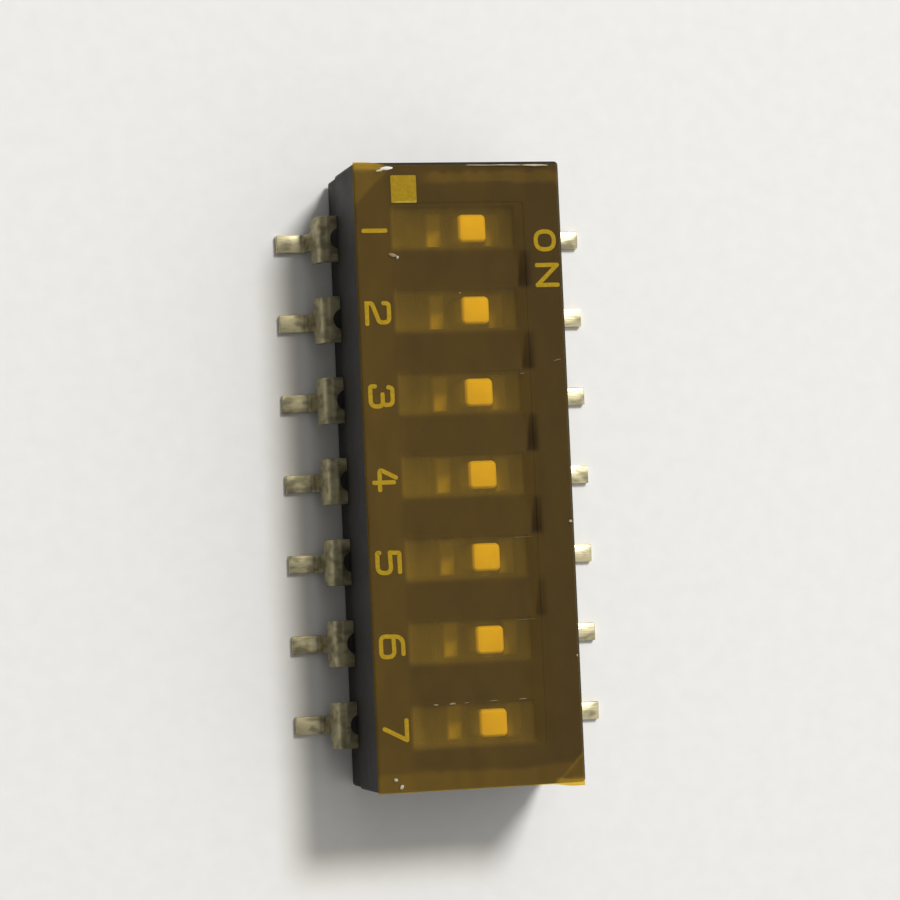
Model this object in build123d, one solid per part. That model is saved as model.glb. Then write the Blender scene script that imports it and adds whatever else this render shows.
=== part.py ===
from build123d import *
import os

# Seven-way DIP slide switch for surface mounting, sealed with a film over its top.
# X runs across the box from OFF to ON, Y along the row with way 1 at its far end, Z up from the board.
# The origin lies on the board, under the middle of the box. All lengths are in millimetres.

# Row of ways
ways = 7
pitch = 2.54

# Heights above the board
standoff = 0.25
seat_height = 1.3
cover_height = 2.7

# Moulded cover
cover_width = 6.54
end_margin = 2.0
cover_corner = 0.12
cover_edge = 0.08
roof = 1.86
field_depth = 0.04
field_off_margin = 0.07
field_on_margin = 0.33
field_end_margin = 0.75
field_corner = 0.12

# Windows and pockets for the sliders
row_shift = -0.15
window_length = 3.8
window_width = 1.24
travel = 1.2
slide_clear = 0.04
guide_clear = 0.05
stop_clear = 0.05

# Sliders
slider_length = 2.66
slider_width = 1.5
slider_corner = 0.1
slider_lift = 0.25
lip_setback = 0.1
lip_length = 0.5
lip_rise = 0.6
lip_clear = 0.05
lip_edge = 0.06
knob_length = 0.89
knob_width = 0.86
knob_shift = -0.045
knob_corner = 0.16
knob_edge = 0.07
knob_sink = 0.14

# Bridging contact springs
spring_thickness = 0.08
spring_width = 0.7
spring_flat = 0.7
spring_drop = 0.4
spring_bend = 0.14
toe_spacing = 1.6
toe_tail = 0.22
toe_lift = 0.24
spring_side_clear = 0.04
spring_end_clear = 0.06
contact_clear = 0.01

# Stamped terminals
lead_thickness = 0.2
lead_span = 9.94
foot_length = 0.85
foot_width = 0.56
ledge_reach = 0.53
ledge_width = 1.45
tab_depth = 0.7
pad_width = 1.1
contact_gap = 0.4
knee_radius = 0.32
heel_radius = 0.16
neck_height = 0.8
neck_taper = 0.05
hole_radius = 0.335
hole_setback = 0.13
seat_clear = 0.03

# Moulded base
base_inset = 0.04
base_corner = 0.12
core_length = 1.6
core_width = 1.0
core_corner = 0.15
core_depth = 0.35

# Snap latches at both ends
tongue_width = 2.6
tongue_drop = 0.85
tongue_thickness = 0.5
tongue_corner = 0.15
latch_width = 1.4
latch_height = 0.35
latch_depth = 0.3
latch_drop = 0.25
latch_clear = 0.04

# Seal film
film_thickness = 0.06
film_width = 6.5
film_overhang = 0.02
film_corner = 0.12
film_skew = -0.25

# How far every cut runs past the face it opens
overrun = 0.4

# Levels and places that follow from the sizes above
base_top = seat_height + lead_thickness
cover_top = base_top + cover_height
roof_underside = cover_top - roof
cover_length = (ways - 1) * pitch + 2 * end_margin
base_width = cover_width - 2 * base_inset
base_length = cover_length - 2 * base_inset
window_off_end = row_shift - window_length / 2
window_on_end = row_shift + window_length / 2
on_place = row_shift + travel / 2
pocket_length = slider_length + travel + 2 * stop_clear
pocket_width = slider_width + 2 * guide_clear
slider_bottom = base_top + slider_lift
slider_top = roof_underside - slide_clear
lip_place = (window_length - travel) / 2 - lip_setback - lip_length / 2
knob_top = cover_top - knob_sink
knee_place = cover_width / 2 + ledge_reach
tip_place = lead_span / 2
heel_place = tip_place - foot_length
tab_place = cover_width / 2 - tab_depth
hole_place = cover_width / 2 - hole_setback
off_pad_end = on_place - contact_gap / 2
on_pad_end = on_place + contact_gap / 2
latch_top = base_top - latch_drop
tongue_inner = cover_length / 2 - tongue_thickness
notch_floor = tongue_inner - latch_clear
way_places = [((ways - 1) / 2 - way) * pitch for way in range(ways)]


def prism(level, height, outline):
    """A flat outline raised from a level."""
    return extrude(Plane.XY.offset(level) * outline, height)


def along_row(outline, shift=0):
    """The same outline at every way of the row."""
    return Sketch() + [Pos(shift, place) * outline for place in way_places]


def at_both_ends(part):
    """A feature at the far end of the box and its twin at the near end."""
    return Part() + [part, mirror(part, about=Plane.XZ)]


def bent_strip(points, radii, thickness, width):
    """Sheet strip, bent along a line in the XZ plane, with its thickness below the line."""
    line = FilletPolyline(*points, radius=radii)
    section = make_face(offset(line, amount=thickness, side=Side.RIGHT))
    return extrude(Plane.XZ * section, width / 2, both=True)


def tongue_outline():
    """Snap tongue seen from the end, with the opening that the latch fills."""
    plate = Pos(0, base_top - tongue_drop / 2) * Rectangle(tongue_width, tongue_drop)
    plate = fillet(plate.vertices().group_by(Axis.Y)[0], tongue_corner)
    opening_height = latch_height + 2 * latch_clear
    opening = Rectangle(latch_width + 2 * latch_clear, opening_height)
    return plate - Pos(0, latch_top - latch_height / 2) * opening


def cover():
    """Shell with a window and a pocket for every slider, and a snap tongue at each end."""
    shell = prism(base_top, cover_height, RectangleRounded(cover_width, cover_length, cover_corner))
    shell = chamfer(shell.faces().sort_by(Axis.Z)[-1].edges(), cover_edge)
    tongue = extrude(Plane.XZ.offset(-tongue_inner) * tongue_outline(), -tongue_thickness)
    shell += at_both_ends(tongue)
    field_off = window_off_end - field_off_margin
    field_on = window_on_end + field_on_margin
    field_width = (ways - 1) * pitch + 2 * field_end_margin
    field = RectangleRounded(field_on - field_off, field_width, field_corner)
    shell -= prism(cover_top - field_depth, overrun, Pos((field_off + field_on) / 2, 0) * field)
    window = Rectangle(window_length, window_width)
    shell -= prism(roof_underside - overrun, roof + 2 * overrun, along_row(window, row_shift))
    pocket = Rectangle(pocket_length, pocket_width)
    pocket_height = roof_underside - base_top
    return shell - prism(base_top - overrun, pocket_height + overrun, along_row(pocket, row_shift))


def terminal_plan(pad_end, grow=0):
    """Terminal seen from above: a narrow pad inside the box and a wide tab that leaves it."""
    pad_length = tip_place - pad_end + grow
    pad = Pos(tip_place - pad_length / 2, 0) * Rectangle(pad_length, pad_width + 2 * grow)
    tab_length = tip_place - tab_place + grow
    tab = Pos(tip_place - tab_length / 2, 0) * Rectangle(tab_length, ledge_width + 2 * grow)
    return pad + tab


def terminal_front():
    """Terminal seen from the side of the box: a wide leg above a narrow foot."""
    half_ledge = ledge_width / 2
    half_foot = foot_width / 2
    neck_bottom = neck_height - neck_taper
    right_side = [
        (half_foot, 0),
        (half_foot, neck_bottom),
        (half_ledge, neck_height),
        (half_ledge, base_top),
    ]
    left_side = [(-across, level) for across, level in reversed(right_side)]
    return Polygon(*right_side, *left_side, align=None)


def terminal(pad_end):
    """Gull-wing terminal on the ON side, its pad reaching in as far as pad_end."""
    points = [
        (pad_end, base_top),
        (knee_place, base_top),
        (heel_place, lead_thickness),
        (tip_place, lead_thickness),
    ]
    strip = bent_strip(points, [knee_radius, heel_radius], lead_thickness, ledge_width)
    strip &= prism(0, base_top, terminal_plan(pad_end))
    strip &= extrude(Plane.YZ.offset(pad_end) * terminal_front(), tip_place - pad_end)
    hole = Pos(hole_place, 0) * Circle(hole_radius)
    return strip - prism(seat_height - overrun, lead_thickness + 2 * overrun, hole)


def off_terminal():
    """Terminal on the OFF side: its long pad reaches past the middle of the box."""
    return mirror(terminal(-off_pad_end), about=Plane.YZ)


def latch():
    """Wedge on the end of the base that the cover's tongue snaps over."""
    wedge = Polygon(
        (notch_floor, latch_top - latch_height),
        (notch_floor + latch_depth, latch_top - latch_height),
        (notch_floor, latch_top),
        align=None,
    )
    return extrude(Plane.YZ * wedge, latch_width / 2, both=True)


def base():
    """Tray that seats the terminals, with latch notches at its ends and cored pockets below."""
    tray = prism(standoff, base_top - standoff, RectangleRounded(base_width, base_length, base_corner))
    notch_depth = base_length / 2 - notch_floor + overrun
    notch = Rectangle(tongue_width + 2 * latch_clear, notch_depth)
    notch_place = Pos(0, notch_floor + notch_depth / 2)
    tray -= at_both_ends(prism(standoff - overrun, base_top - standoff + 2 * overrun, notch_place * notch))
    tray += at_both_ends(latch())
    on_slots = along_row(terminal_plan(on_pad_end, seat_clear))
    off_slots = along_row(mirror(terminal_plan(-off_pad_end, seat_clear), about=Plane.YZ))
    tray -= prism(seat_height, lead_thickness + overrun, on_slots)
    tray -= prism(seat_height, lead_thickness + overrun, off_slots)
    core = Rectangle(core_length, core_width)
    cores = along_row(chamfer(core.vertices(), core_corner))
    return tray - prism(standoff - overrun, core_depth + overrun, cores)


def contact_spring():
    """Bridging contact: a flat middle and two arms that end in rounded toes, flat face at level zero."""
    half_flat = spring_flat / 2
    half_span = toe_spacing / 2
    on_arm = [
        (half_flat, 0),
        (half_span, -spring_drop),
        (half_span + toe_tail, toe_lift - spring_drop),
    ]
    off_arm = [(-along, level) for along, level in reversed(on_arm)]
    points = off_arm + on_arm
    return bent_strip(points, [spring_bend] * (len(points) - 2), spring_thickness, spring_width)


def slider(spring_size):
    """Slider with a flange below the roof, a lip at each end, a knob, and a recess for its spring."""
    flange = Rectangle(slider_length, slider_width)
    flange = chamfer(flange.vertices(), slider_corner)
    body = prism(slider_bottom, slider_top - slider_bottom, flange)
    lip = prism(slider_top, lip_rise, Rectangle(lip_length, window_width - 2 * lip_clear))
    lip = chamfer(lip.faces().sort_by(Axis.Z)[-1].edges(), lip_edge)
    body += [Pos(side * lip_place, 0) * lip for side in (1, -1)]
    knob_outline = Pos(0, knob_shift) * RectangleRounded(knob_length, knob_width, knob_corner)
    knob = prism(slider_top, knob_top - slider_top, knob_outline)
    body += chamfer(knob.faces().sort_by(Axis.Z)[-1].edges(), knob_edge)
    recess = Rectangle(spring_size.X + 2 * spring_end_clear, spring_size.Y + 2 * spring_side_clear)
    ceiling = base_top + contact_clear + spring_size.Z
    return body - prism(slider_bottom - overrun, ceiling - slider_bottom + overrun, recess)


def seal_tape():
    """Film over the whole top, laid slightly askew."""
    film = RectangleRounded(film_width, cover_length + 2 * film_overhang, film_corner)
    return prism(cover_top, film_thickness, Rot(0, 0, film_skew) * film)


def build_nodes():
    """Every piece in its place, with all sliders at ON."""
    nodes = {"cover": cover(), "base": base(), "seal_tape": seal_tape()}
    spring = contact_spring()
    spring_size = spring.bounding_box().size
    spring_level = base_top + contact_clear + spring_size.Z
    row_pieces = {
        "slider": Pos(on_place, 0, 0) * slider(spring_size),
        "contact_spring": Pos(on_place, 0, spring_level) * spring,
        "terminal_off": off_terminal(),
        "terminal_on": terminal(on_pad_end),
    }
    for name, piece in row_pieces.items():
        for way, place in enumerate(way_places, start=1):
            nodes[f"{name}_{way}"] = Pos(0, place, 0) * piece
    return nodes


os.makedirs("parts", exist_ok=True)
for node, solid in build_nodes().items():
    export_step(solid, f"parts/{node}.step")
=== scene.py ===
import math
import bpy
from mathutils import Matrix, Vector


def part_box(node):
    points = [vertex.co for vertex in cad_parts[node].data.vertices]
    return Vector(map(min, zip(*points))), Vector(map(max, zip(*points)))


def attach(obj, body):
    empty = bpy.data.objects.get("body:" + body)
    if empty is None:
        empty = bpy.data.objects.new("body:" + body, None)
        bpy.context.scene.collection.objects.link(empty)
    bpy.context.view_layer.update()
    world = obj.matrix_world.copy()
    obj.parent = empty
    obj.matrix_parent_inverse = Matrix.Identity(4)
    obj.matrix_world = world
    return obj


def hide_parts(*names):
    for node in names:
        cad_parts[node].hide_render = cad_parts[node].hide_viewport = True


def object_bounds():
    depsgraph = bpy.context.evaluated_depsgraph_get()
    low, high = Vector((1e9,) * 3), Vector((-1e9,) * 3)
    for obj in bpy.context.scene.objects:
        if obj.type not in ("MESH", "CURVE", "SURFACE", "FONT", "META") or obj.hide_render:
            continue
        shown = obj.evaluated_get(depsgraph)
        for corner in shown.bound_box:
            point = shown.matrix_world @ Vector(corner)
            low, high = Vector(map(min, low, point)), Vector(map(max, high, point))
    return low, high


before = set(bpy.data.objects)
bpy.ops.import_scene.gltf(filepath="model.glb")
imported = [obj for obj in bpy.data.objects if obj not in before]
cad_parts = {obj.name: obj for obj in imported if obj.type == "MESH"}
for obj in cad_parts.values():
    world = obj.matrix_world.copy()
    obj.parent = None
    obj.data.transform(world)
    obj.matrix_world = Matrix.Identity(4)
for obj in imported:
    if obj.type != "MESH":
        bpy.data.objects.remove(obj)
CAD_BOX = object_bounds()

from types import SimpleNamespace

import bmesh
import bpy
from bpy.props import FloatProperty, FloatVectorProperty, PointerProperty
from mathutils import Matrix, Vector, noise

bl_info = {
    "name": "Sealed Slide Switch",
    "version": (1, 0, 0),
    "blender": (4, 5, 0),
    "location": "3D View > Sidebar > Slide Switch",
    "description": "Finishes a seven-way surface-mount slide switch under its amber seal film",
    "category": "Object",
}

# Settings hold metres, mesh work is done in millimetres
MM = 0.001

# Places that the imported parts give, in millimetres
COVER_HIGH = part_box("cover")[1] / MM
COVER_TOP = COVER_HIGH.z
FILM_LOW, FILM_HIGH = [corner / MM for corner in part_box("seal_tape")]
FILM_THICKNESS = FILM_HIGH.z - FILM_LOW.z
WAYS = sum(name.startswith("slider_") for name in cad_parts)
WAY_PLACES = [sum(corner.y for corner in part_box(f"slider_{way + 1}")) / (2 * MM) for way in range(WAYS)]
BAR_PLACES = [(first + second) / 2 for first, second in zip(WAY_PLACES, WAY_PLACES[1:])]

# How firmly the film is pressed against the field's edge: at each bar, and how that changes along one
BAR_SHARES = (1, 0.82, 1, 0.92, 0.6, 0)
PRESS_MIDDLE = 0.92
PRESS_LEAN = 0.4

# How far the field's ON edge and the pressed wedges lean, per millimetre along the row
STEP_LEAN = 0.0105
WEDGE_LEAN = 0.12

# Shares of the film's thickness: how deep its underside lies, and how much is worn off its long sides
UNDER_FACE = 0.8
WORN_SIDE = 0.55

# How ragged the film's loose ends are, in millimetres, and the share of that at the corners
RAGGED_COARSE = 0.1
RAGGED_FINE = 0.07
CORNER_RAGGED = 0.3

# Shares that the film's haze gains or loses from place to place, over the windows per millimetre; over the
# windows the haze is partly painted light, and the crease gain is a painted highlight
MOTTLE = 0.12
OFF_SIDE_GAIN = 0.33
MIDDLE_LOSS = 0.06
ON_SIDE_LOSS = 0.16
FIRST_WAYS_LOSS = 0.15
PAINTED_WINDOW_LIGHT_FALL = 0.5
PAINTED_WINDOW_LIGHT_LEAN = 0.12
CREASE_HIGHLIGHT_GAIN = 2.2
PRESSED_LOSS = 0.95

# Where the film's haze fades from one level to another: start and end, in millimetres
OFF_SIDE_FADE = (-2.4, -2.1)
MIDDLE_FADE = (0.9, 1.5)
FIRST_WAYS_FADE = (0.5, 7)
HEAD_STRIP_FADE = (-1.4, -0.8)
CREASE_HIGHLIGHT_FADE = (0.03, 0.1)
CORNER_FADE = (2.2, 2.5)
HEAD_EDGE_FADE = (9.34, 9.42)
FOOT_EDGE_FADE = (9.45, 9.52)

# How softly parts of the film's haze end, in millimetres
ON_SIDE_BLUR = 0.2
HEAD_STRIP_BLUR = 0.06
FOOT_STRIP_BLUR = 0.18
HEAD_CORNER_BLUR = 0.12
FOOT_CORNER_BLUR = 0.1

# Side of the room that is bright, and where its light fades in between the dim and the bright side
ROOM_SIDE = (0.96, 0.28, 0)
ROOM_FADE = (-0.35, 0.3)

# Mesh work
WELD = 0.002
FLAT_ANGLE = math.radians(1.5)
SHARP_ANGLE = math.radians(32)
ARC_STEPS = 8
CAP_STEPS = 4
MITRE_LIMIT = 0.5
FLOOR_SIDES = 96

# Lumps of the grit: how uneven a grain is, its waves per grain and how far grains differ
GRIT_UNEVEN = 0.35
GRIT_WAVES = 3
GRIT_SPREAD = 5

# Print forms: strokes of (across, up, corner radius), as shares of the sign's box
GLYPHS = {
    "1": [[(0.5, 0, 0), (0.5, 1, 0)]],
    "2": [
        [
            (0, 0.76, 0),
            (0.03, 1, 0.22),
            (0.94, 1, 0.24),
            (0.94, 0.55, 0.2),
            (0, 0.24, 0.12),
            (0, 0, 0),
            (1, 0, 0),
        ],
    ],
    "3": [
        [(0.06, 0.82, 0), (0.12, 1, 0.14), (0.92, 1, 0.24), (0.92, 0.55, 0.18), (0.4, 0.55, 0)],
        [(0.4, 0.55, 0), (0.98, 0.55, 0.2), (0.98, 0, 0.28), (0, 0, 0.2), (0, 0.22, 0)],
    ],
    "4": [[(0.42, 1, 0), (0, 0.26, 0.1), (1, 0.26, 0)], [(0.64, 0, 0), (0.64, 0.9, 0)]],
    "5": [
        [(0.96, 1, 0), (0.03, 1, 0.06), (0, 0.57, 0)],
        [(0, 0.57, 0), (0.98, 0.61, 0.26), (0.98, 0, 0.3), (0, 0, 0.12), (0, 0.1, 0)],
    ],
    "6": [
        [(0.88, 1, 0), (0.04, 1, 0.42), (0, 0, 0.34), (0.5, 0, 0)],
        [(0.5, 0, 0), (1, 0, 0.32), (1, 0.6, 0.28), (0.05, 0.57, 0)],
    ],
    "7": [[(0.05, 1, 0), (1, 1, 0)], [(1, 1, 0), (0.42, 0, 0)]],
    "O": [[(0.04, 0, 0.5), (0.94, 0, 0.5), (0.94, 0.9, 0.5), (0.04, 0.9, 0.5)]],
    "N": [[(0, 0, 0), (0, 1, 0)], [(0, 1, 0), (1, 0, 0)], [(1, 0, 0), (1, 1, 0)]],
}
CLOSED_GLYPHS = "O"

# Grit on the film: colour, height, then places across and along, lengths, widths and turns in degrees. The
# lint group also holds painted glints, and the edge groups are pale slivers that paint highlights on the
# film's top edge
GRIT = {
    "film_dust": (
        (0.54, 0.46, 0.36),
        0.05,
        (
            (-2.74, -9.22, 0.12, 0.10, 0),
            (-2.56, -9.44, 0.15, 0.12, 60),
            (-1.99, 6.69, 0.10, 0.08, 60),
            (3.12, -1.58, 0.10, 0.09, 0),
            (3.14, -5.72, 0.08, 0.05, 80),
        ),
    ),
    "film_lint_and_glints": (
        (0.27, 0.22, 0.13),
        0.03,
        (
            (-2.15, 6.76, 0.26, 0.11, -15),
            (-0.07, 5.56, 0.06, 0.05, 0),
            (2.93, 3.42, 0.26, 0.02, 12),
            (1.80, 3.03, 0.16, 0.02, 5),
            # faint pale lines at the top edges of the fifth and sixth windows
            (1.62, -2.01, 0.70, 0.01, 2),
            (1.58, -4.54, 0.70, 0.01, 2),
            # painted glints: slivers along the top edge of the last window
            (-1.39, -7.02, 0.16, 0.05, 0),
            (-0.86, -7.01, 0.20, 0.06, 4),
            (-0.42, -7.00, 0.16, 0.02, 3),
            (0.45, -6.98, 0.30, 0.02, 3),
            (1.35, -6.97, 0.26, 0.03, 3),
        ),
    ),
    # painted highlight: a bright sliver standing in for a glint on the film's top edge
    "painted_edge_glint": (
        (0.92, 0.90, 0.84),
        0.04,
        (
            (-2.215, 9.43, 0.38, 0.11, 4),
        ),
    ),
    # painted highlights: pale slivers standing in for glints along the film's top edge
    "painted_edge_highlights": (
        (0.66, 0.55, 0.38),
        0.03,
        (
            (-2.46, 9.36, 0.24, 0.06, 12),
            (0.75, 9.50, 1.00, 0.025, -1),
            (1.65, 9.497, 1.00, 0.03, -1),
            (2.50, 9.487, 0.85, 0.055, -1),
        ),
    ),
}


def length(name, millimetres, description):
    """A length that a user may change."""
    return FloatProperty(
        name=name,
        description=description,
        default=millimetres * MM,
        precision=6,
        subtype="DISTANCE",
        unit="LENGTH",
    )


def place(name, millimetres, description):
    """A point that a user may move."""
    return FloatVectorProperty(
        name=name,
        description=description,
        default=[part * MM for part in millimetres],
        precision=6,
        subtype="TRANSLATION",
        unit="LENGTH",
    )


def colour(name, default, description):
    """A colour, in linear light, that a user may change."""
    return FloatVectorProperty(
        name=name,
        description=description,
        default=default,
        subtype="COLOR",
        min=0,
        max=1,
    )


def share(name, default, description):
    """A share from 0 to 1 that a user may change."""
    return FloatProperty(
        name=name,
        description=description,
        default=default,
        subtype="FACTOR",
        min=0,
        max=1,
    )


class MouldingSettings(bpy.types.PropertyGroup):
    """Plastic pieces."""

    cover_colour: colour("Cover", (0.014, 0.013, 0.012), "Colour of the moulded cover")
    base_colour: colour("Base", (0.014, 0.013, 0.013), "Colour of the moulded base")
    slider_colour: colour("Sliders", (0.90, 0.89, 0.84), "Colour of the moulded sliders")
    housing_edge: length("Housing Edge", 0.018, "Radius of the housing's moulded edges")
    slider_edge: length("Slider Edge", 0.035, "Radius of the sliders' moulded edges")


class MetalSettings(bpy.types.PropertyGroup):
    """Stamped pieces."""

    tin_colour: colour("Tin", (0.67, 0.60, 0.37), "Colour of the tin plate on the terminals")
    gold_colour: colour("Gold", (0.93, 0.66, 0.27), "Colour of the gold flash on the springs")
    bronze_colour: colour("Bronze", (0.80, 0.46, 0.20), "Colour of the gold where the bronze shows through")
    lead_edge: length("Lead Edge", 0.03, "Radius of the terminals' stamped edges")
    spring_edge: length("Spring Edge", 0.015, "Radius of the springs' stamped edges")


class PrintSettings(bpy.types.PropertyGroup):
    """Pad print on the cover."""

    ink_colour: colour("Ink", (0.475, 0.60, 0.60), "Colour of the print")
    ink_thickness: length("Ink Thickness", 0.008, "Height of the print")
    ink_step: length("Ink Step", 0.001, "How much a later stroke stands over an earlier one")
    stroke: length("Stroke", 0.13, "Width of the print's lines")
    digit_height: length("Digit Height", 0.82, "Height of the way numbers")
    digit_width: length("Digit Width", 0.76, "Width of the way numbers")
    digit_foot: length("Digit Foot", -3.08, "Foot of the way numbers across the box")
    digit_shift: length("Digit Shift", -0.1, "Place of a number along the row from its way")
    word_height: length("Word Height", 0.78, "Height of the ON mark's letters")
    word_width: length("Letter Width", 0.75, "Width of the ON mark's letters")
    word_foot: length("Word Foot", 2.365, "Foot of the ON mark across the box")
    word_start: length("Word Start", 7.14, "Middle of the ON mark's first letter along the row")
    word_step: length("Letter Step", 1.07, "Distance between the ON mark's letters")
    mark_width: length("Mark Width", 0.8, "Width of the first-way mark across the box")
    mark_length: length("Mark Length", 0.85, "Length of the first-way mark along the row")
    mark_across: length("Mark Across", -1.7, "Middle of the first-way mark across the box")
    mark_along: length("Mark Along", 8.795, "Middle of the first-way mark along the row")


class FilmSettings(bpy.types.PropertyGroup):
    """Amber seal film."""

    tint: colour("Tint", (0.945, 0.80, 0.25), "What one face of the film lets through")
    haze_colour: colour("Haze Colour", (0.62, 0.408, 0.04), "Colour of the light that the film scatters")
    haze: share("Haze", 0.0415, "Light that a face of the film scatters where it is stuck down")
    # over a window this haze is partly painted light, standing in for the lit window below the film
    window_haze_and_painted_light: share("Window Haze", 0.052, "Light that it scatters beyond that over a window")
    loose_haze: share("Loose Haze", 0.035, "Light that it scatters beyond that where it has come loose")
    edge_haze: share("Edge Haze", 0.2, "Light that it scatters beyond that at its loose corners")
    cell: length("Cell", 0.045, "Width of the film's mesh cells across the box")
    cell_along: length("Cell Along", 0.08, "Length of the film's mesh cells along the row")
    lift: length("Lift", 0.018, "Glue under the film")
    off_side: length("OFF Side", -3.29, "OFF side of the film")
    on_side: length("ON Side", 3.205, "ON side of the film")
    head: length("Head", 9.53, "End of the film beyond the first way")
    foot: length("Foot", -9.63, "End of the film beyond the last way")
    tail: length("Tail", 0.08, "How much further the loose corners reach")
    tail_start: length("Tail Start", 2.1, "Distance from the middle where the corners start to reach out")
    tail_full: length("Tail Full", 2.9, "Distance from the middle where the corners reach furthest")
    wave: length("Wave", 0.004, "Height of the film's slow waves")
    field_low: length("Field Low", -2.12, "OFF edge of the cover's sunk field")
    field_high: length("Field High", 2.08, "ON edge of the cover's sunk field")
    field_end: length("Field End", 8.37, "Half length of the cover's sunk field")
    field_dip: length("Field Dip", 0.058, "How far the film sinks into the field")
    off_slope: length("OFF Slope", 0.22, "Half length of the film's slope at the field's OFF edge")
    end_slope: length("End Slope", 0.4, "Half length of the film's slope at the field's ends")
    free_start: length("Free Start", 0.6, "How far before the ON edge the free film starts to climb")
    free_end: length("Free End", 0.17, "How far past the ON edge the free film ends its climb")
    pressed_start: length("Pressed Start", 0.18, "How far before the ON edge the pressed film starts it")
    pressed_end: length("Pressed End", 0.12, "How far past the ON edge the pressed film ends it")
    bar_low: length("Bar Low", -0.64, "End of a pressed wedge towards the last way, from its bar's middle")
    bar_high: length("Bar High", 0.5, "End of a pressed wedge towards the first way, from its bar's middle")
    bar_blur: length("Bar Blur", 0.08, "How softly a pressed wedge ends along the row")
    bar_reach: length("Bar Reach", 0.16, "How far a pressed wedge reaches back from the field's ON edge")
    wedge_blur: length("Wedge Blur", 0.03, "How softly a pressed wedge starts across the box")
    wedge_fade: length("Wedge Fade", 0.03, "How far past the field a pressed wedge starts to fade")
    wedge_end: length("Wedge End", 0.26, "How far past the field a pressed wedge ends")
    window_low: length("Window Low", -2.05, "OFF end of the windows")
    window_high: length("Window High", 1.75, "ON end of the windows")
    window_half: length("Window Half", 0.62, "Half width of the windows")
    window_blur: length("Window Blur", 0.14, "How softly the film changes at the windows' long sides")
    window_sag: length("Window Sag", 0.012, "How far the film sags into a window")
    sag_slope: length("Sag Slope", 0.25, "Half length of the film's slope at the windows' ends")
    # the windows' haze placed here is partly painted light of the lit windows
    glow_shift: length("Glow Shift", -0.045, "Place of a window's haze along the row from its window")
    glow_low: length("Glow Low", -2.15, "OFF end of the windows' haze")
    glow_high: length("Glow High", 1.69, "ON end of the windows' haze")
    glow_blur: length("Glow Blur", 0.08, "How softly the windows' haze ends across the box")
    loose_end: length("Loose End", 8.98, "Distance from the middle where the film's ends come loose")
    loose_head: length("Loose Head", 9.3, "Distance from the middle where the head is stuck down again")
    head_crease: length("Head Crease", 11.5, "Sum of both distances from the middle at the head's crease")
    head_rise: length("Head Rise", 11.9, "The same sum where the head corner starts to stand up")
    head_top: length("Head Top", 13.0, "The same sum where the head corner stands highest")
    head_lift: length("Head Lift", 0.07, "How far the head corner stands up")
    foot_crease: length("Foot Crease", 11.95, "The same sum at the foot's crease")
    foot_top: length("Foot Top", 12.6, "The same sum where the foot corner stands highest")
    foot_lift: length("Foot Lift", 0.042, "How far the foot corner stands up")


class StageSettings(bpy.types.PropertyGroup):
    """Floor, light and camera."""

    floor_colour: colour("Floor", (0.80, 0.79, 0.77), "Colour of the floor")
    floor_radius: length("Floor Radius", 700, "Radius of the floor")
    room_colour: colour("Room", (0.88, 0.87, 0.85), "Colour of the room")
    room_dim: share("Room Dim", 0.2, "Light of the room on its dim side")
    room_bright: share("Room Bright", 0.8, "Light of the room on its bright side")
    camera_place: place("Camera", (-22.778, -3.435, 93.304), "Place of the camera")
    camera_target: place("Target", (-0.044, 0.841, 2.0), "Point that the camera looks at")
    camera_roll: FloatProperty(
        name="Roll",
        description="Turn of the camera about its view",
        default=math.radians(-2.5),
        subtype="ANGLE",
    )
    camera_lens: FloatProperty(
        name="Lens",
        description="Focal length in millimetres",
        default=120,
        unit="CAMERA",
    )
    key_place: place("Key Light", (270, 390, 650), "Place of the key light")
    key_size: length("Key Size", 200, "Width of the key light")
    key_power: FloatProperty(
        name="Key Power",
        description="Power of the key light",
        default=5.0,
        unit="POWER",
    )


def in_mm(settings):
    """The lengths of a group of settings, in millimetres and under their own names."""
    sizes = SimpleNamespace()
    for item in settings.bl_rna.properties:
        if item.type == "FLOAT" and item.unit == "LENGTH":
            value = getattr(settings, item.identifier)
            setattr(sizes, item.identifier, Vector(value) / MM if item.is_array else value / MM)
    return sizes


def ramp(value, start, end):
    """0 before start and 1 after end, straight between."""
    return min(max((value - start) / (end - start), 0), 1)


def ease(value, start, end):
    """0 before start and 1 after end, smooth between."""
    part = ramp(value, start, end)
    return part * part * (3 - 2 * part)


def blend(first, second, part):
    """A number between two as the part goes from 0 to 1."""
    return first + (second - first) * part


def cloud(x, y, across, along, seed):
    """Smooth noise about 0, with its waves per millimetre across the box and along the row."""
    return noise.noise(Vector((x * across, y * along, seed)))


def within(value, low, high, blur):
    """1 between low and high, fading out over the blur about each."""
    return ease(value, low - blur, low + blur) * (1 - ease(value, high - blur, high + blur))


def finish_mesh(bm, name):
    """Turns millimetre mesh work into a smooth-shaded mesh in metres."""
    bmesh.ops.recalc_face_normals(bm, faces=bm.faces)
    bmesh.ops.scale(bm, vec=(MM, MM, MM), verts=bm.verts)
    for face in bm.faces:
        face.smooth = True
    mesh = bpy.data.meshes.new(name)
    bm.to_mesh(mesh)
    bm.free()
    mesh.set_sharp_from_angle(angle=SHARP_ANGLE)
    return mesh


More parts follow.
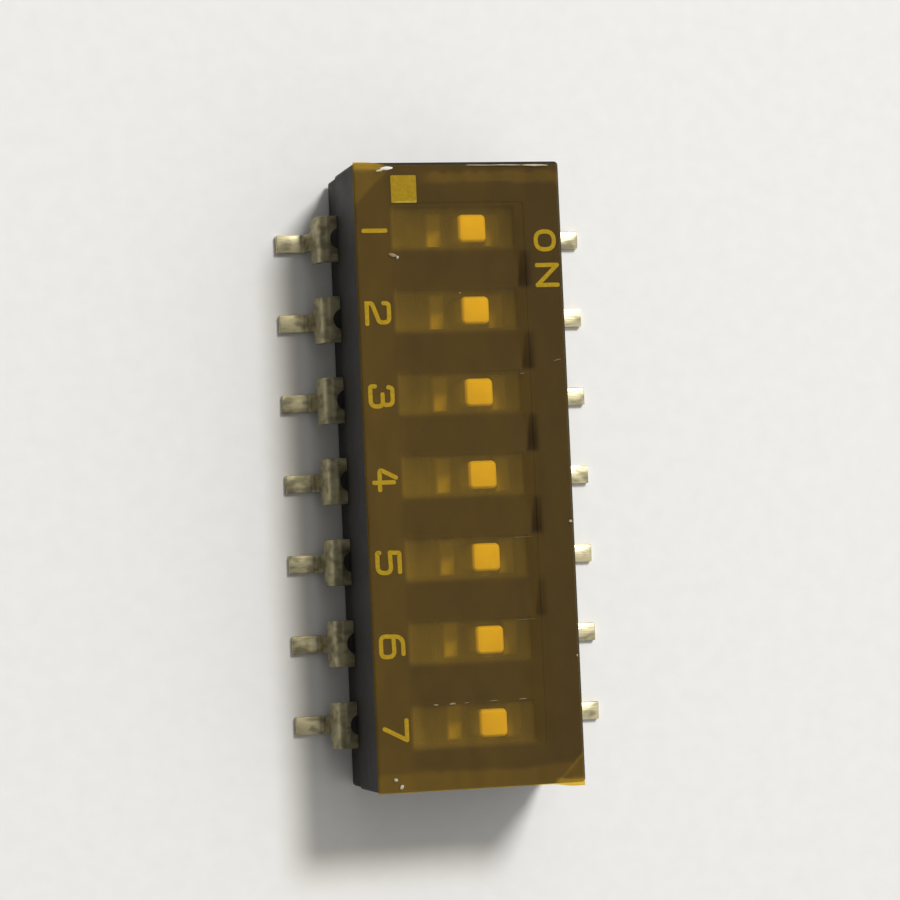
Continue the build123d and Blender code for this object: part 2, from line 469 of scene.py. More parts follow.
def rounded_mesh(node, name, radius, segments=2):
    """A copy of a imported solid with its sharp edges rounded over."""
    bm = bmesh.new()
    bm.from_mesh(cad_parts[node].data)
    bmesh.ops.scale(bm, vec=(1 / MM, 1 / MM, 1 / MM), verts=bm.verts)
    bmesh.ops.remove_doubles(bm, verts=bm.verts, dist=WELD)
    bmesh.ops.dissolve_limit(bm, angle_limit=FLAT_ANGLE, verts=bm.verts, edges=bm.edges)
    sharp = [edge for edge in bm.edges if edge.is_manifold and edge.calc_face_angle() > SHARP_ANGLE]
    bmesh.ops.bevel(
        bm,
        geom=sharp,
        offset=radius,
        offset_type="OFFSET",
        segments=segments,
        profile=0.5,
        affect="EDGES",
        clamp_overlap=True,
    )
    return finish_mesh(bm, name)


def add_piece(name, mesh, material, body, slot, *nodes):
    """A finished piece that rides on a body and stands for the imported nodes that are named."""
    piece = bpy.data.objects.new(name, mesh)
    bpy.context.scene.collection.objects.link(piece)
    mesh.materials.clear()
    mesh.materials.append(material)
    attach(piece, body)
    if nodes:
        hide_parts(*nodes)
    return piece


def keep_flats(piece):
    """Shades broad faces flat and lets only the rounded edges turn."""
    modifier = piece.modifiers.new("Flat Faces", "WEIGHTED_NORMAL")
    modifier.keep_sharp = True
    modifier.weight = 100


class Finish:
    """A material with short calls that add and join its nodes."""

    def __init__(self, name):
        self.material = bpy.data.materials.new(name)
        self.material.use_nodes = True
        self.tree = self.material.node_tree
        self.tree.nodes.clear()
        self.place = self.add("ShaderNodeTexCoord").outputs["Object"]

    def add(self, kind, inputs=None, **options):
        """A node with its options set and its inputs set or joined."""
        node = self.tree.nodes.new(kind)
        for option, value in options.items():
            setattr(node, option, value)
        for socket, value in (inputs or {}).items():
            if isinstance(value, bpy.types.NodeSocket):
                self.tree.links.new(value, node.inputs[socket])
            else:
                node.inputs[socket].default_value = value
        return node

    def grain(self, size, detail=3.0, stretch=(1, 1, 1)):
        """Noise from 0 to 1 with features of a size in millimetres, stretched along the axes."""
        scale = [1 / (size * MM * part) for part in stretch]
        mapped = self.add("ShaderNodeMapping", {"Vector": self.place, "Scale": scale})
        texture = self.add(
            "ShaderNodeTexNoise", {"Vector": mapped.outputs["Vector"], "Scale": 1.0, "Detail": detail}
        )
        return texture.outputs["Fac"]

    def between(self, factor, low, high, start=0.3, end=0.7):
        """A number from low to high as the factor goes from start to end."""
        node = self.add(
            "ShaderNodeMapRange",
            {"Value": factor, "From Min": start, "From Max": end, "To Min": low, "To Max": high},
        )
        return node.outputs["Result"]

    def mix(self, factor, first, second):
        """A colour between two as the factor goes from 0 to 1."""
        inputs = {0: factor, 6: first, 7: second}
        for socket in (6, 7):
            if not isinstance(inputs[socket], bpy.types.NodeSocket):
                inputs[socket] = (*inputs[socket], 1.0)
        return self.add("ShaderNodeMix", inputs, data_type="RGBA").outputs[2]

    def bump(self, height, depth, strength=1.0, normal=None):
        """A normal from a height map whose depth is given in millimetres."""
        inputs = {"Height": height, "Distance": depth * MM, "Strength": strength}
        if normal:
            inputs["Normal"] = normal
        return self.add("ShaderNodeBump", inputs).outputs["Normal"]

    def done(self, shader):
        """Joins the shader to the output and gives the material."""
        self.add("ShaderNodeOutputMaterial", {"Surface": shader.outputs[0]})
        return self.material


def shade(tone, part):
    """A colour made lighter or darker by a share of itself."""
    return [min(channel * part, 1.0) for channel in tone]


def moulded_black(name, tone):
    """Glass-filled black plastic with a fine spark-eroded skin and paler flow clouds."""
    finish = Finish(name)
    clouds = finish.grain(0.9, 4.0)
    skin = finish.grain(0.035, 2.0)
    flakes = finish.grain(0.12, 5.0)
    cloudy = finish.mix(finish.between(clouds, 0, 1), shade(tone, 0.75), shade(tone, 1.35))
    speckled = finish.mix(finish.between(flakes, 0, 0.5, 0.6, 0.75), cloudy, shade(tone, 2.4))
    shader = finish.add(
        "ShaderNodeBsdfPrincipled",
        {
            "Base Color": speckled,
            "Roughness": finish.between(clouds, 0.5, 0.64),
            "Normal": finish.bump(skin, 0.004, 0.2),
            "Specular IOR Level": 0.16,
        },
    )
    return finish.done(shader)


def moulded_white(name, tone):
    """Satin white plastic, faintly creamy where it is thick, with painted shade that greys it deep in the
    box.
    """
    finish = Finish(name)
    height = finish.add("ShaderNodeSeparateXYZ", {0: finish.place}).outputs["Z"]
    # painted shade: the white darkens with depth below the cover top, standing in for the shade deep in the
    # windows
    painted_light_by_height = finish.between(height, 0, 1, 0.55 * COVER_TOP * MM, 0.9 * COVER_TOP * MM)
    clouds = finish.grain(0.6, 3.0)
    skin = finish.grain(0.03, 2.0)
    cream = finish.mix(finish.between(clouds, 0, 1), shade(tone, 0.94), shade(tone, 1.03))
    shader = finish.add(
        "ShaderNodeBsdfPrincipled",
        {
            "Base Color": finish.mix(painted_light_by_height, shade(tone, 0.1), cream),
            "Roughness": finish.between(clouds, 0.34, 0.48),
            "Normal": finish.bump(skin, 0.002, 0.6),
        },
    )
    return finish.done(shader)


def plated_tin(name, tone):
    """Scratched tin plate with rolling lines, with painted shade that darkens it towards the box and nearly
    to black inside it.
    """
    finish = Finish(name)
    across = finish.add("ShaderNodeSeparateXYZ", {0: finish.place}).outputs["X"]
    reach = finish.add("ShaderNodeMath", {0: across}, operation="ABSOLUTE").outputs[0]
    wall = COVER_HIGH.x * MM
    tip = CAD_BOX[1].x
    outside = finish.between(reach, 0, 1, 0.96 * wall, wall)
    # painted shade: the tin darkens from the tips in towards the box, standing in for the box's shadow on
    # the leads
    bright = finish.between(reach, 0.5, 1, 0.8 * tip, 0.88 * tip)
    roughness = finish.between(reach, 0.48, 0.34, 0.8 * tip, 0.88 * tip)
    lines = finish.grain(0.05, 3.0, (14, 1, 1))
    scratches = finish.grain(0.035, 2.0, (9, 1, 3))
    patches = finish.grain(0.26, 1.5, (1.6, 1, 1))
    dull = finish.mix(finish.between(patches, 0, 1, 0.44, 0.64), tone, shade(tone, 0.5))
    worn = finish.mix(finish.between(scratches, 0, 0.6, 0.62, 0.76), dull, shade(tone, 0.4))
    worn_with_painted_shade = finish.mix(bright, shade(tone, 0.2), worn)
    # painted shade: inside the box the tin is darkened nearly to black, standing in for the shade there
    tin_with_painted_shade = finish.mix(outside, shade(tone, 0.1), worn_with_painted_shade)
    lined = finish.bump(lines, 0.006, 0.5)
    shader = finish.add(
        "ShaderNodeBsdfPrincipled",
        {
            "Base Color": tin_with_painted_shade,
            "Metallic": 1.0,
            "Roughness": roughness,
            "Normal": finish.bump(scratches, 0.01, 0.5, lined),
        },
    )
    return finish.done(shader)


def gold_flash(name, tone, bronze):
    """Gold flash over spring bronze, thin and redder in clouds."""
    finish = Finish(name)
    clouds = finish.grain(0.3, 3.0)
    lines = finish.grain(0.03, 2.0, (10, 1, 4))
    thin = finish.mix(finish.between(clouds, 0, 1), tone, bronze)
    shader = finish.add(
        "ShaderNodeBsdfPrincipled",
        {
            "Base Color": thin,
            "Metallic": 1.0,
            "Roughness": finish.between(clouds, 0.2, 0.36),
            "Normal": finish.bump(lines, 0.004, 0.5),
        },
    )
    return finish.done(shader)


def pad_ink(name, tone):
    """Pad-print ink, a little uneven where the pad lifted."""
    finish = Finish(name)
    coat = finish.grain(0.09, 4.0)
    uneven = finish.mix(finish.between(coat, 0, 1, 0.35, 0.7), shade(tone, 0.82), shade(tone, 1.08))
    shader = finish.add(
        "ShaderNodeBsdfPrincipled",
        {"Base Color": uneven, "Roughness": 0.6, "Normal": finish.bump(coat, 0.004, 0.6)},
    )
    return finish.done(shader)


def amber_film(name, tint, haze_colour):
    """Clear amber film that scatters more light where it isn't stuck down."""
    finish = Finish(name)
    # the haze attribute also carries painted light over the windows and a painted highlight on the foot
    # crease
    haze = finish.add("ShaderNodeAttribute", attribute_name="haze").outputs["Fac"]
    streaks = finish.grain(0.4, 4.0, (1, 3, 1))
    ripple = finish.bump(finish.grain(0.5, 2.0), 0.002, 0.5)
    clear = finish.add("ShaderNodeBsdfTransparent", {"Color": (*tint, 1.0)})
    tone = finish.mix(finish.between(streaks, 0, 1), shade(haze_colour, 0.88), shade(haze_colour, 1.1))
    cloudy = finish.add("ShaderNodeBsdfDiffuse", {"Color": tone})
    body = finish.add("ShaderNodeMixShader", {0: haze, 1: clear.outputs[0], 2: cloudy.outputs[0]})
    gloss = finish.add(
        "ShaderNodeBsdfGlossy",
        {"Color": (1, 1, 1, 1), "Roughness": finish.between(streaks, 0.06, 0.12), "Normal": ripple},
    )
    fresnel = finish.add("ShaderNodeFresnel", {"IOR": 1.33, "Normal": ripple}).outputs["Fac"]
    back = finish.add("ShaderNodeNewGeometry").outputs["Backfacing"]
    front = finish.add("ShaderNodeMath", {0: 1.0, 1: back}, operation="SUBTRACT").outputs[0]
    mirror = finish.add("ShaderNodeMath", {0: fresnel, 1: front}, operation="MULTIPLY").outputs[0]
    shader = finish.add("ShaderNodeMixShader", {0: mirror, 1: body.outputs[0], 2: gloss.outputs[0]})
    return finish.done(shader)


def pale_dust(name, tone):
    """Pale lint and grit that lies on the film, also used for slivers that paint glints."""
    finish = Finish(name)
    fluff = finish.grain(0.05, 4.0)
    tone = finish.mix(finish.between(fluff, 0, 1), shade(tone, 0.65), tone)
    shader = finish.add(
        "ShaderNodeBsdfPrincipled",
        {"Base Color": tone, "Roughness": 0.75, "Normal": finish.bump(fluff, 0.01, 0.8)},
    )
    return finish.done(shader)


def studio_floor(name, tone):
    """Pale plain floor with a barely visible tooth."""
    finish = Finish(name)
    tooth = finish.grain(0.6, 3.0)
    paper = finish.mix(finish.between(tooth, 0, 1), shade(tone, 0.985), shade(tone, 1.015))
    shader = finish.add("ShaderNodeBsdfDiffuse", {"Color": paper, "Normal": finish.bump(tooth, 0.01, 0.3)})
    return finish.done(shader)


def rounded_path(points, closed):
    """A polyline through the points with a bend of its own radius at every corner."""
    path = []
    count = len(points)
    for index, (x, y, radius) in enumerate(points):
        corner = Vector((x, y))
        at_end = not closed and index in (0, count - 1)
        if at_end or radius <= 0:
            path.append(corner)
            continue
        back = Vector(points[index - 1][:2]) - corner
        ahead = Vector(points[(index + 1) % count][:2]) - corner
        half_angle = back.angle(ahead) / 2
        reach = min(radius / math.tan(half_angle), back.length / 2, ahead.length / 2)
        start = corner + back.normalized() * reach
        end = corner + ahead.normalized() * reach
        for step in range(ARC_STEPS):
            part = step / (ARC_STEPS - 1)
            path.append(start.lerp(corner, part).lerp(corner.lerp(end, part), part))
    return path


def path_sides(path, half, closed):
    """Every point of a path with its half width across, and round caps at the ends of an open one."""
    following = path[1:] + path[:1] if closed else path[1:]
    kept = [here for here, after in zip(path, following) if (after - here).length > WELD]
    if not closed:
        kept.append(path[-1])
    steps = [after - here for here, after in zip(kept, kept[1:] + kept[:1])]
    if not closed:
        steps[-1] = steps[-2]
    rows = []
    for index, point in enumerate(kept):
        leave = steps[index].normalized()
        come = steps[index - 1].normalized() if closed or index else leave
        along = (come + leave).normalized()
        across = Vector((-along.y, along.x))
        widen = 1 / max(across.dot(Vector((-leave.y, leave.x))), MITRE_LIMIT)
        rows.append((point, across * half * widen))
    if closed:
        return rows
    head = []
    tail = []
    for step in range(1, CAP_STEPS):
        turn = math.pi / 2 * step / CAP_STEPS
        outward = half * math.sin(turn)
        head.insert(0, (kept[0] - steps[0].normalized() * outward, rows[0][1] * math.cos(turn)))
        tail.append((kept[-1] + steps[-1].normalized() * outward, rows[-1][1] * math.cos(turn)))
    return head + rows + tail


def add_stroke(bm, rows, lay, low, high, closed):
    """A flat printed stroke, as a closed low ribbon."""
    rings = []
    for point, across in rows:
        left = lay(point + across)
        right = lay(point - across)
        corners = ((*left, low), (*left, high), (*right, high), (*right, low))
        rings.append([bm.verts.new(corner) for corner in corners])
    pairs = list(zip(rings, rings[1:]))
    if closed:
        pairs.append((rings[-1], rings[0]))
    for ring, after in pairs:
        for side in range(4):
            other = (side + 1) % 4
            bm.faces.new((ring[side], ring[other], after[other], after[side]))
    if not closed:
        bm.faces.new(rings[0][::-1])
        bm.faces.new(rings[-1])


def glyph_mesh(inks, glyph, width, height, foot, middle):
    """One printed sign, its head towards ON and its lines running down the row."""
    half = inks.stroke / 2
    inner_width = width - inks.stroke
    inner_height = height - inks.stroke
    closed = glyph in CLOSED_GLYPHS

    def lay(point):
        return (foot + half + point.y, middle + inner_width / 2 - point.x)

    bm = bmesh.new()
    for order, stroke in enumerate(GLYPHS[glyph]):
        points = [(x * inner_width, y * inner_height, r * inner_height) for x, y, r in stroke]
        rows = path_sides(rounded_path(points, closed), half, closed)
        high = COVER_TOP + inks.ink_thickness + order * inks.ink_step
        add_stroke(bm, rows, lay, COVER_TOP, high, closed)
    return finish_mesh(bm, f"print_{glyph}")


def mark_mesh(inks):
    """The square mark beside the first way, with corners softened by the pad."""
    bm = bmesh.new()
    bmesh.ops.create_cube(bm, size=1)
    bmesh.ops.scale(bm, vec=(inks.mark_width, inks.mark_length, inks.ink_thickness), verts=bm.verts)
    middle = (inks.mark_across, inks.mark_along, COVER_TOP + inks.ink_thickness / 2)
    bmesh.ops.translate(bm, vec=middle, verts=bm.verts)
    upright = [edge for edge in bm.edges if abs(edge.verts[0].co.z - edge.verts[1].co.z) > WELD]
    bmesh.ops.bevel(bm, geom=upright, offset=inks.stroke / 3, segments=4, profile=0.5, affect="EDGES")
    return finish_mesh(bm, "print_mark")


def window_share(film, y):
    """1 over the row of a window, 0 over the bars between."""
    half = film.window_half
    return max(within(y - way, -half, half, film.window_blur) for way in WAY_PLACES)


def step_place(film, y):
    """Where the film climbs out of the field on its ON side."""
    return film.field_high - STEP_LEAN * y


def bar_press(film, y):
    """Distance along the row from the nearest bar, and how firmly the film is pressed down there."""
    bar, firm = min(zip(BAR_PLACES, BAR_SHARES), key=lambda item: abs(y - item[0]))
    beyond = y - bar
    firmness = min(firm * (PRESS_MIDDLE - PRESS_LEAN * beyond), 1)
    return beyond, firmness * within(beyond, film.bar_low, film.bar_high, film.bar_blur)


def pressed_share(film, x, y):
    """1 where the film is pressed against the ON edge of the field, in a wedge beside each bar."""
    beyond, pressed = bar_press(film, y)
    edge = step_place(film, y) - film.bar_reach + WEDGE_LEAN * beyond
    start = ease(x, edge - film.wedge_blur, edge + film.wedge_blur)
    fade = ease(x, film.field_high + film.wedge_fade, film.field_high + film.wedge_end)
    return pressed * start * (1 - fade)


def film_level(film, x, y):
    """Height of the film's top face over the cover's top face."""
    pressed = bar_press(film, y)[1]
    step = step_place(film, y)
    climb_start = step - blend(film.free_start, film.pressed_start, pressed)
    climb_end = step + blend(film.free_end, film.pressed_end, pressed)
    from_off = ease(x, film.field_low - film.off_slope, film.field_low + film.off_slope)
    to_on = 1 - ramp(x, climb_start, climb_end)
    ends = within(y, -film.field_end, film.field_end, film.end_slope)
    sunk = film.field_dip * from_off * to_on * ends
    over_window = window_share(film, y) * within(x, film.window_low, film.window_high, film.sag_slope)
    sag = film.window_sag * over_window
    waves = film.wave * cloud(x, y, 0.8, 0.6, 3.1)
    head_corner = film.head_lift * ease(y - x, film.head_rise, film.head_top)
    foot_corner = film.foot_lift * ease(x - y, film.foot_crease, film.foot_top)
    return FILM_THICKNESS + film.lift - sunk - sag + waves + head_corner + foot_corner


def stuck_share(film, x, y):
    """How much the film scatters where it is stuck down: more at OFF, less at ON and the first ways."""
    off_side = OFF_SIDE_GAIN * (1 - ease(x, *OFF_SIDE_FADE))
    middle = MIDDLE_LOSS * ease(x, *MIDDLE_FADE)
    on_side = ON_SIDE_LOSS * ease(x, film.field_high, film.field_high + ON_SIDE_BLUR)
    first_ways = FIRST_WAYS_LOSS * ease(y, *FIRST_WAYS_FADE)
    return 1 + off_side - middle - on_side - first_ways


def window_haze_and_light_share(film, x, y):
    """How much the film scatters over a window, partly painted light of the lit window below: more towards
    the next way and towards OFF.
    """
    along = window_share(film, y - film.glow_shift)
    across = within(x, film.glow_low, film.glow_high, film.glow_blur)
    below = min(WAY_PLACES, key=lambda way: abs(y - way)) - y
    # painted light: brighter towards the next way and towards OFF, where light falls into the window
    return along * across * (1 + PAINTED_WINDOW_LIGHT_FALL * below) * (1 - PAINTED_WINDOW_LIGHT_LEAN * x)


def loose_share(film, x, y):
    """How much the film scatters where it has come loose, at its ends and its two corners, and a painted
    highlight along the foot corner's crease.
    """
    ragged = RAGGED_COARSE * cloud(x, y, 1.3, 1.3, 10.01) + RAGGED_FINE * cloud(x, y, 4.1, 4.1, 31.57)
    uneven = CORNER_RAGGED * ragged
    head_strip = within(y + ragged, film.loose_end, film.loose_head, HEAD_STRIP_BLUR)
    head = head_strip * ease(x, *HEAD_STRIP_FADE)
    foot = ease(-y + ragged, film.loose_end, film.loose_end + FOOT_STRIP_BLUR)
    head_corner = ease(y - x + uneven, film.head_crease, film.head_crease + HEAD_CORNER_BLUR)
    foot_corner = ease(x - y + uneven, film.foot_crease, film.foot_crease + FOOT_CORNER_BLUR)
    # painted highlight: a thin bright line along the foot corner's crease
    crease = 1 - ease(abs(x - y - film.foot_crease), *CREASE_HIGHLIGHT_FADE)
    return max(head, foot, head_corner, foot_corner, CREASE_HIGHLIGHT_GAIN * crease)


def corner_share(x, y):
    """1 at the edges of the two loose corners."""
    head_edge = ease(y, *HEAD_EDGE_FADE) * ease(-x, *CORNER_FADE)
    foot_edge = ease(-y, *FOOT_EDGE_FADE) * ease(x, *CORNER_FADE)
    return max(head_edge, foot_edge)


def film_haze(film, shares, x, y):
    """Share of light that one face of the film scatters, with painted light over the windows and a painted
    highlight on the foot crease.
    """
    haze = shares.haze * stuck_share(film, x, y)
    haze += shares.window_haze_and_painted_light * window_haze_and_light_share(film, x, y)
    haze += shares.loose_haze * loose_share(film, x, y)
    haze += shares.edge_haze * corner_share(x, y)
    mottle = 1 + MOTTLE * cloud(x, y, 1.9, 1.1, 2.3)
    return haze * mottle * (1 - PRESSED_LOSS * pressed_share(film, x, y))


def film_mesh(film, shares):
    """The film as a closed thin sheet that follows the cover's field and windows."""
    across = round((film.on_side - film.off_side) / film.cell)
    along = round((film.head - film.foot) / film.cell_along)
    verts = []
    haze = []
    for depth in (UNDER_FACE * FILM_THICKNESS, 0):
        for row in range(along + 1):
            for column in range(across + 1):
                x = film.off_side + (film.on_side - film.off_side) * column / across
                head = film.head + film.tail * ease(-x, film.tail_start, film.tail_full)
                foot = film.foot - film.tail * ease(x, film.tail_start, film.tail_full)
                y = foot + (head - foot) * row / along
                worn = WORN_SIDE * FILM_THICKNESS if column in (0, across) else 0
                level = COVER_TOP + film_level(film, x, y) - max(depth, worn)
                verts.append((x * MM, y * MM, level * MM))
                haze.append(film_haze(film, shares, x, y))
    width = across + 1
    count = width * (along + 1)
    faces = []
    for row in range(along):
        for column in range(across):
            a = row * width + column
            b = a + 1
            c = b + width
            d = c - 1
            faces.append((a, d, c, b))
            faces.append((a + count, b + count, c + count, d + count))
    rim = list(range(across))
    rim += [row * width + across for row in range(along)]
    rim += [along * width + column for column in range(across, 0, -1)]
    rim += [row * width for row in range(along, 0, -1)]
    for here, after in zip(rim, rim[1:] + rim[:1]):
        faces.append((here, after, after + count, here + count))
    mesh = bpy.data.meshes.new("amber_film")
    mesh.from_pydata(verts, [], faces)
    mesh.attributes.new("haze", "FLOAT", "POINT").data.foreach_set("value", haze)
    mesh.polygons.foreach_set("use_smooth", [True] * len(mesh.polygons))
    mesh.set_sharp_from_angle(angle=SHARP_ANGLE)
    return mesh


def grit_mesh(film, name, grains, height):
    """Small uneven grains and slivers that lie on the film."""
    bm = bmesh.new()
    for x, y, long, wide, turn in grains:
        grain = bmesh.ops.create_icosphere(bm, subdivisions=2, radius=0.5)["verts"]
        for vert in grain:
            lump = noise.noise(GRIT_WAVES * vert.co + GRIT_SPREAD * Vector((x, y, 0)))
            vert.co *= 1 + GRIT_UNEVEN * lump
        size = Matrix.Diagonal((long, wide, min(height, wide), 1))
        turned = Matrix.Rotation(math.radians(turn), 4, "Z")
        spot = Matrix.Translation((x, y, COVER_TOP + film_level(film, x, y)))
        bmesh.ops.transform(bm, matrix=spot @ turned @ size, verts=grain)
    return finish_mesh(bm, name)


class SLIDESWITCH_OT_housing(bpy.types.Operator):
    """Finishes the moulded cover and base"""

    bl_idname = "slide_switch.housing"
    bl_label = "Mould Housing"

    def execute(self, context):
        moulding = context.scene.switch_moulding
        edge = in_mm(moulding).housing_edge
        cover_skin = moulded_black("cover_plastic", moulding.cover_colour)
        base_skin = moulded_black("base_plastic", moulding.base_colour)
        cover = rounded_mesh("cover", "moulded_cover", edge)
        base = rounded_mesh("base", "moulded_base", edge)
        keep_flats(add_piece("moulded_cover", cover, cover_skin, "housing", "black_cover", "cover"))
        keep_flats(add_piece("moulded_base", base, base_skin, "housing", "black_base", "base"))
        return {"FINISHED"}


class SLIDESWITCH_OT_terminals(bpy.types.Operator):
    """Finishes the stamped terminals on both sides"""

    bl_idname = "slide_switch.terminals"
    bl_label = "Stamp Terminals"

    def execute(self, context):
        metal = context.scene.switch_metal
        edge = in_mm(metal).lead_edge
        tin = plated_tin("tin_plate", metal.tin_colour)
        for side in ("off", "on"):
            for way in range(1, WAYS + 1):
                node = f"terminal_{side}_{way}"
                name = f"lead_{side}_{way}"
                mesh = rounded_mesh(node, name, edge)
                keep_flats(add_piece(name, mesh, tin, "housing", "tin_lead", node))
        return {"FINISHED"}


class SLIDESWITCH_OT_sliders(bpy.types.Operator):
    """Finishes the white sliders"""

    bl_idname = "slide_switch.sliders"
    bl_label = "Mould Sliders"

    def execute(self, context):
        moulding = context.scene.switch_moulding
        edge = in_mm(moulding).slider_edge
        white = moulded_white("slider_plastic", moulding.slider_colour)
        for way in range(1, WAYS + 1):
            node = f"slider_{way}"
            name = f"white_slider_{way}"
            mesh = rounded_mesh(node, name, edge, 3)
            keep_flats(add_piece(name, mesh, white, f"slide_{way}", "white_slider", node))
        return {"FINISHED"}


class SLIDESWITCH_OT_springs(bpy.types.Operator):
    """Finishes the bridging contact springs"""

    bl_idname = "slide_switch.springs"
    bl_label = "Stamp Springs"

    def execute(self, context):
        metal = context.scene.switch_metal
        edge = in_mm(metal).spring_edge
        gold = gold_flash("gold_flash", metal.gold_colour, metal.bronze_colour)
        for way in range(1, WAYS + 1):
            node = f"contact_spring_{way}"
            name = f"bridge_spring_{way}"
            mesh = rounded_mesh(node, name, edge)
            keep_flats(add_piece(name, mesh, gold, f"slide_{way}", "gold_contact", node))
        return {"FINISHED"}


class SLIDESWITCH_OT_print(bpy.types.Operator):
    """Prints the way numbers, the ON mark and the first-way mark on the cover"""

    bl_idname = "slide_switch.print"
    bl_label = "Print Cover"

    def execute(self, context):
        inks = in_mm(context.scene.switch_print)
        ink = pad_ink("pad_ink", context.scene.switch_print.ink_colour)
        for way, along in enumerate(WAY_PLACES, start=1):
            middle = along + inks.digit_shift
            mesh = glyph_mesh(inks, str(way), inks.digit_width, inks.digit_height, inks.digit_foot, middle)
            add_piece(f"print_digit_{way}", mesh, ink, "housing", "white_slider")
        for index, letter in enumerate("ON"):
            middle = inks.word_start - index * inks.word_step
            mesh = glyph_mesh(inks, letter, inks.word_width, inks.word_height, inks.word_foot, middle)
            add_piece(f"print_letter_{letter}", mesh, ink, "housing", "white_slider")
        thin_ink = pad_ink("thin_ink", shade(context.scene.switch_print.ink_colour, 0.82))
        add_piece("print_mark", mark_mesh(inks), thin_ink, "housing", "white_slider")
        return {"FINISHED"}


class SLIDESWITCH_OT_film(bpy.types.Operator):
    """Lays the amber seal film over the top"""

    bl_idname = "slide_switch.film"
    bl_label = "Lay Film"

    def execute(self, context):
        shares = context.scene.switch_film
        amber = amber_film("amber_film", shares.tint, shares.haze_colour)
        sheet = film_mesh(in_mm(shares), shares)
        add_piece("amber_film", sheet, amber, "housing", "amber_film", "seal_tape")
        return {"FINISHED"}


class SLIDESWITCH_OT_dust(bpy.types.Operator):
    """Strews the lint and grit that lie on the film, and pale slivers that paint glints on it and along its
    edge
    """

    bl_idname = "slide_switch.dust"
    bl_label = "Strew Dust"

    def execute(self, context):
        film = in_mm(context.scene.switch_film)
        for name, (tone, height, grains) in GRIT.items():
            mesh = grit_mesh(film, name, grains, height)
            add_piece(name, mesh, pale_dust(f"{name}_pale", tone), "housing", "white_slider")
        return {"FINISHED"}


def look_from(spot, target, roll):
    """The turn of a camera that looks at a target, its side kept level with the row and then rolled."""
    ahead = (target - spot).normalized()
    side = ahead.cross(Vector((0, 1, 0))).normalized()
    up = side.cross(ahead)
    turn = Matrix((side, up, -ahead)).transposed().to_4x4()
    return Matrix.Translation(spot) @ turn @ Matrix.Rotation(roll, 4, "Z")


def add_camera(stage):
    """The camera at the photograph's viewing angle."""
    data = bpy.data.cameras.new("camera")
    data.lens = stage.camera_lens
    data.clip_start = MM
    camera = bpy.data.objects.new("camera", data)
    spot = Vector(stage.camera_place)
    camera.matrix_world = look_from(spot, Vector(stage.camera_target), stage.camera_roll)
    bpy.context.scene.collection.objects.link(camera)
    bpy.context.scene.camera = camera


def add_key(stage):
    """The soft key light, from the ON side and the first way."""
    data = bpy.data.lights.new("key", "AREA")
    data.shape = "DISK"
    data.size = stage.key_size
    data.energy = stage.key_power
    light = bpy.data.objects.new("key", data)
    light.matrix_world = look_from(Vector(stage.key_place), Vector((0, 0, 0)), 0)
    bpy.context.scene.collection.objects.link(light)


def add_floor(stage):
    """A wide pale floor under the feet."""
    bm = bmesh.new()
    bmesh.ops.create_circle(bm, cap_ends=True, segments=FLOOR_SIDES, radius=stage.floor_radius / MM)
    mesh = finish_mesh(bm, "floor")
    mesh.materials.append(studio_floor("studio_floor", stage.floor_colour))
    floor = bpy.data.objects.new("floor", mesh)
    bpy.context.scene.collection.objects.link(floor)


def add_room(stage):
    """Soft room light, bright on the key light's side and dim on the other."""
    world = bpy.data.worlds.new("room")
    world.use_nodes = True
    bpy.context.scene.world = world
    nodes = world.node_tree.nodes
    links = world.node_tree.links
    nodes.clear()
    towards = nodes.new("ShaderNodeTexCoord")
    lean = nodes.new("ShaderNodeVectorMath")
    lean.operation = "DOT_PRODUCT"
    lean.inputs[1].default_value = ROOM_SIDE
    level = nodes.new("ShaderNodeMapRange")
    level.interpolation_type = "SMOOTHSTEP"
    level.inputs["From Min"].default_value = ROOM_FADE[0]
    level.inputs["From Max"].default_value = ROOM_FADE[1]
    level.inputs["To Min"].default_value = stage.room_dim
    level.inputs["To Max"].default_value = stage.room_bright
    room = nodes.new("ShaderNodeBackground")
    room.inputs["Color"].default_value = (*stage.room_colour, 1)
    output = nodes.new("ShaderNodeOutputWorld")
    links.new(towards.outputs["Generated"], lean.inputs[0])
    links.new(lean.outputs["Value"], level.inputs["Value"])
    links.new(level.outputs["Result"], room.inputs["Strength"])
    links.new(room.outputs["Background"], output.inputs["Surface"])


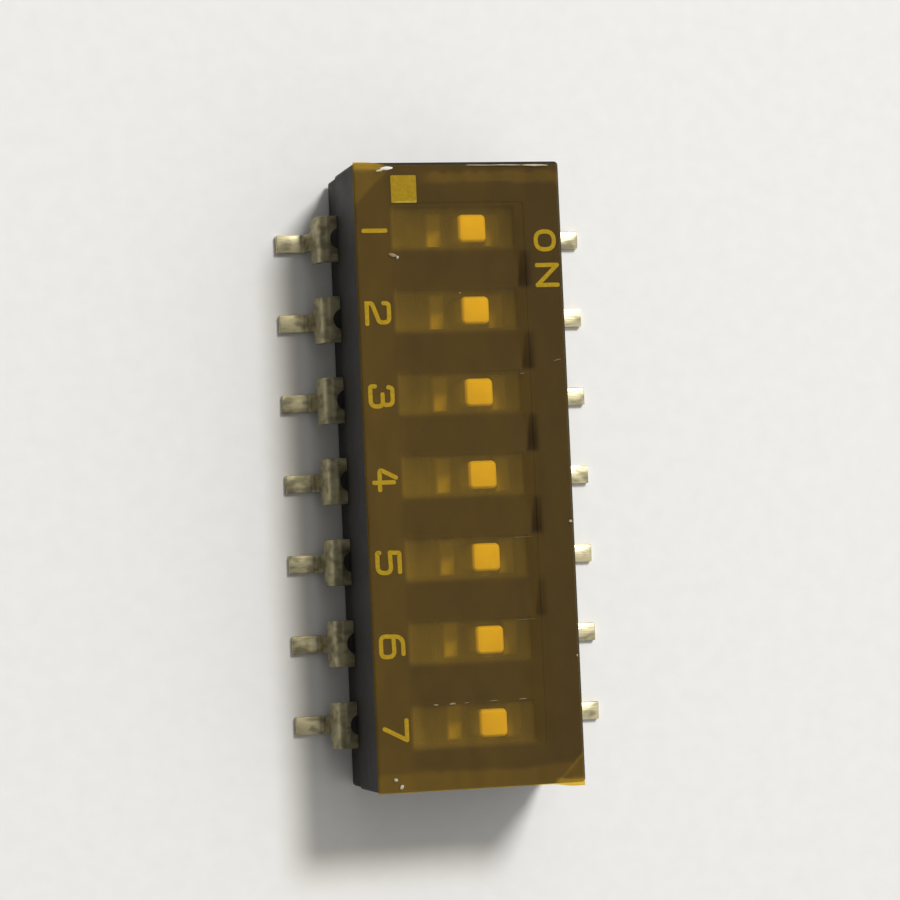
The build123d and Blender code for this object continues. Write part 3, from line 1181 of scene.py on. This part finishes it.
class SLIDESWITCH_OT_stage(bpy.types.Operator):
    """Sets the floor, the light and the camera"""

    bl_idname = "slide_switch.stage"
    bl_label = "Set Stage"

    def execute(self, context):
        stage = context.scene.switch_stage
        add_camera(stage)
        add_key(stage)
        add_floor(stage)
        add_room(stage)
        context.scene.view_settings.view_transform = "Standard"
        return {"FINISHED"}


class VIEW3D_PT_slide_switch(bpy.types.Panel):
    """Lists the steps that finish the switch and the values that they use"""

    bl_label = "Slide Switch"
    bl_space_type = "VIEW_3D"
    bl_region_type = "UI"
    bl_category = "Slide Switch"

    def draw(self, context):
        for step in STEPS:
            self.layout.operator(step.bl_idname)
        for group in SETTINGS:
            values = getattr(context.scene, group)
            box = self.layout.box()
            for name in values.bl_rna.properties.keys():
                if name not in ("rna_type", "name"):
                    box.prop(values, name)


SETTINGS = {
    "switch_moulding": MouldingSettings,
    "switch_metal": MetalSettings,
    "switch_print": PrintSettings,
    "switch_film": FilmSettings,
    "switch_stage": StageSettings,
}
STEPS = (
    SLIDESWITCH_OT_housing,
    SLIDESWITCH_OT_terminals,
    SLIDESWITCH_OT_sliders,
    SLIDESWITCH_OT_springs,
    SLIDESWITCH_OT_print,
    SLIDESWITCH_OT_film,
    SLIDESWITCH_OT_dust,
    SLIDESWITCH_OT_stage,
)
CLASSES = (*SETTINGS.values(), *STEPS, VIEW3D_PT_slide_switch)


def register():
    """Makes the steps, the values and the panel known to Blender."""
    for item in CLASSES:
        bpy.utils.register_class(item)
    for group, settings in SETTINGS.items():
        setattr(bpy.types.Scene, group, PointerProperty(type=settings))


def unregister():
    """Takes the steps, the values and the panel out again."""
    for group in SETTINGS:
        delattr(bpy.types.Scene, group)
    for item in reversed(CLASSES):
        bpy.utils.unregister_class(item)


def main():
    """Finishes the switch piece by piece."""
    register()
    bpy.ops.slide_switch.housing()
    bpy.ops.slide_switch.terminals()
    bpy.ops.slide_switch.sliders()
    bpy.ops.slide_switch.springs()
    bpy.ops.slide_switch.print()
    bpy.ops.slide_switch.film()
    bpy.ops.slide_switch.dust()
    bpy.ops.slide_switch.stage()


if __name__ == "__main__":
    main()
